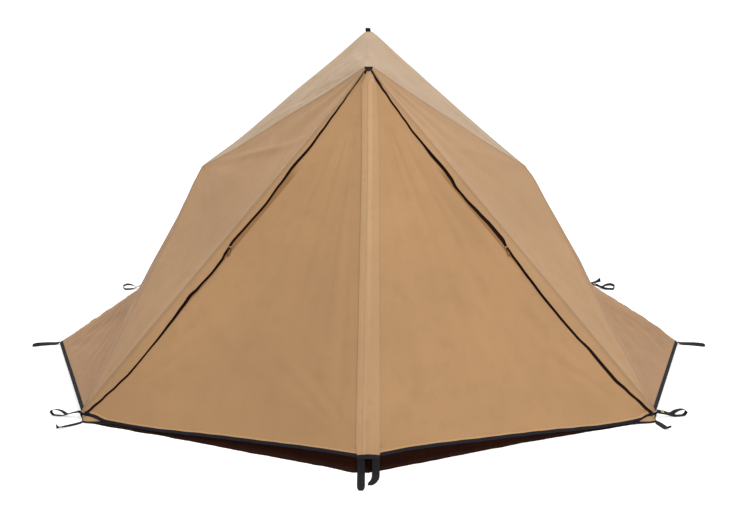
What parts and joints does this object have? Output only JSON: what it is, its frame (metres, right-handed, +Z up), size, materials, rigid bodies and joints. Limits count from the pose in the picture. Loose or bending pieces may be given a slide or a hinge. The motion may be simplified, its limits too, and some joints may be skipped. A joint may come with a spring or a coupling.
{
  "type": "ridge tent",
  "caption": "Cotton ridge tent on upright poles, with a double-leaf door at each end, pulled-out side wings, bound hems and webbing peg straps.",
  "frame": {"origin": "on the ground under the middle of the ridge", "axes": "+Z up, the ridge along Y, the front door facing -Y, the wings along X"},
  "size_m": [3.3974, 3.4334, 1.4992],
  "materials": {
    "canvas": "close plain weave, matt",
    "roof_canvas": "close plain weave, matt",
    "skirt_cloth": "dark coated cloth",
    "hem_binding": "woven tape",
    "webbing": "ribbed webbing",
    "cap_plastic": "matt black",
    "pole_steel": "satin",
    "slider_metal": "satin",
    "foot_rubber": "matt",
    "tie_cord": "braided cord and a turned toggle",
    "zip_tape": "woven tape with a coil chain"
  },
  "bodies": {
    "root": {"front_apex_cap": "cap_plastic", "front_left_corner_loop": "webbing", "front_left_corner_strap": "webbing", "front_left_side_panel": "canvas", "front_pole_foot": "foot_rubber", "front_pole_lower": "pole_steel", "front_pole_upper": "pole_steel", "front_right_corner_loop": "webbing", "front_right_corner_strap": "webbing", "front_right_side_panel": "canvas", "left_wall": "canvas", "left_wall_hem": "hem_binding", "left_wing_strap": "webbing", "rear_apex_cap": "cap_plastic", "rear_left_corner_loop": "webbing", "rear_left_corner_strap": "webbing", "rear_left_side_panel": "canvas", "rear_pole_foot": "foot_rubber", "rear_pole_lower": "pole_steel", "rear_pole_upper": "pole_steel", "rear_right_corner_loop": "webbing", "rear_right_corner_strap": "webbing", "rear_right_side_panel": "canvas", "right_wall": "canvas", "right_wall_hem": "hem_binding", "right_wing_strap": "webbing", "roof_left": "roof_canvas", "roof_right": "roof_canvas"},
    "front_left_leaf": {"front_left_door_leaf": "canvas", "front_left_door_hem": "hem_binding", "front_left_ground_skirt": "skirt_cloth", "front_left_rain_flap": "canvas", "front_left_zip_half": "zip_tape", "front_left_toe_strap": "webbing", "front_left_tie_back": "tie_cord"},
    "front_right_leaf": {"front_right_door_leaf": "canvas", "front_right_door_hem": "hem_binding", "front_right_ground_skirt": "skirt_cloth", "front_right_rain_flap": "canvas", "front_right_zip_half": "zip_tape", "front_right_toe_strap": "webbing", "front_right_tie_back": "tie_cord"},
    "front_flap": {"front_storm_flap": "canvas"},
    "front_slider": {"front_zip_slider": "slider_metal"},
    "rear_left_leaf": {"rear_left_door_leaf": "canvas", "rear_left_door_hem": "hem_binding", "rear_left_ground_skirt": "skirt_cloth", "rear_left_rain_flap": "canvas", "rear_left_zip_half": "zip_tape", "rear_left_toe_strap": "webbing", "rear_left_tie_back": "tie_cord"},
    "rear_right_leaf": {"rear_right_door_leaf": "canvas", "rear_right_door_hem": "hem_binding", "rear_right_ground_skirt": "skirt_cloth", "rear_right_rain_flap": "canvas", "rear_right_zip_half": "zip_tape", "rear_right_toe_strap": "webbing", "rear_right_tie_back": "tie_cord"},
    "rear_flap": {"rear_storm_flap": "canvas"},
    "rear_slider": {"rear_zip_slider": "slider_metal"}
  },
  "joints": [
    {"name": "front_left_leaf_swing", "type": "hinge", "parent": "root", "child": "front_left_leaf", "pos_m": [-1.263, -0.974, 0.03], "axis": [-0.6436, -0.1574, -0.749], "range_deg": [0, 150]},
    {"name": "front_right_leaf_swing", "type": "hinge", "parent": "root", "child": "front_right_leaf", "pos_m": [1.263, -0.974, 0.03], "axis": [-0.6436, 0.1574, 0.749], "range_deg": [0, 108]},
    {"name": "front_flap_fold", "type": "hinge", "parent": "front_left_leaf", "child": "front_flap", "pos_m": [-0.04673, -1.52777, 0.05045], "axis": [-0.01, -0.5171, -0.8559], "range_deg": [0, 150]},
    {"name": "front_slider_run", "type": "slide", "parent": "front_left_leaf", "child": "front_slider", "axis": [0, 0.5205, 0.8539], "range_m": [0, 1.521]},
    {"name": "rear_right_leaf_swing", "type": "hinge", "parent": "root", "child": "rear_right_leaf", "pos_m": [1.263, 0.974, 0.03], "axis": [0.6436, 0.1574, -0.749], "range_deg": [0, 150]},
    {"name": "rear_left_leaf_swing", "type": "hinge", "parent": "root", "child": "rear_left_leaf", "pos_m": [-1.263, 0.974, 0.03], "axis": [0.6436, -0.1574, 0.749], "range_deg": [0, 108]},
    {"name": "rear_flap_fold", "type": "hinge", "parent": "rear_right_leaf", "child": "rear_flap", "pos_m": [0.04673, 1.52777, 0.05045], "axis": [0.01, 0.5171, -0.8559], "range_deg": [0, 150]},
    {"name": "rear_slider_run", "type": "slide", "parent": "rear_right_leaf", "child": "rear_slider", "axis": [0, -0.5205, 0.8539], "range_m": [0, 1.521]}
  ],
  "couplings": [
    {"joint": "front_right_leaf_swing", "follows": "front_left_leaf_swing", "ratio": 0.72},
    {"joint": "rear_left_leaf_swing", "follows": "rear_right_leaf_swing", "ratio": 0.72}
  ]
}
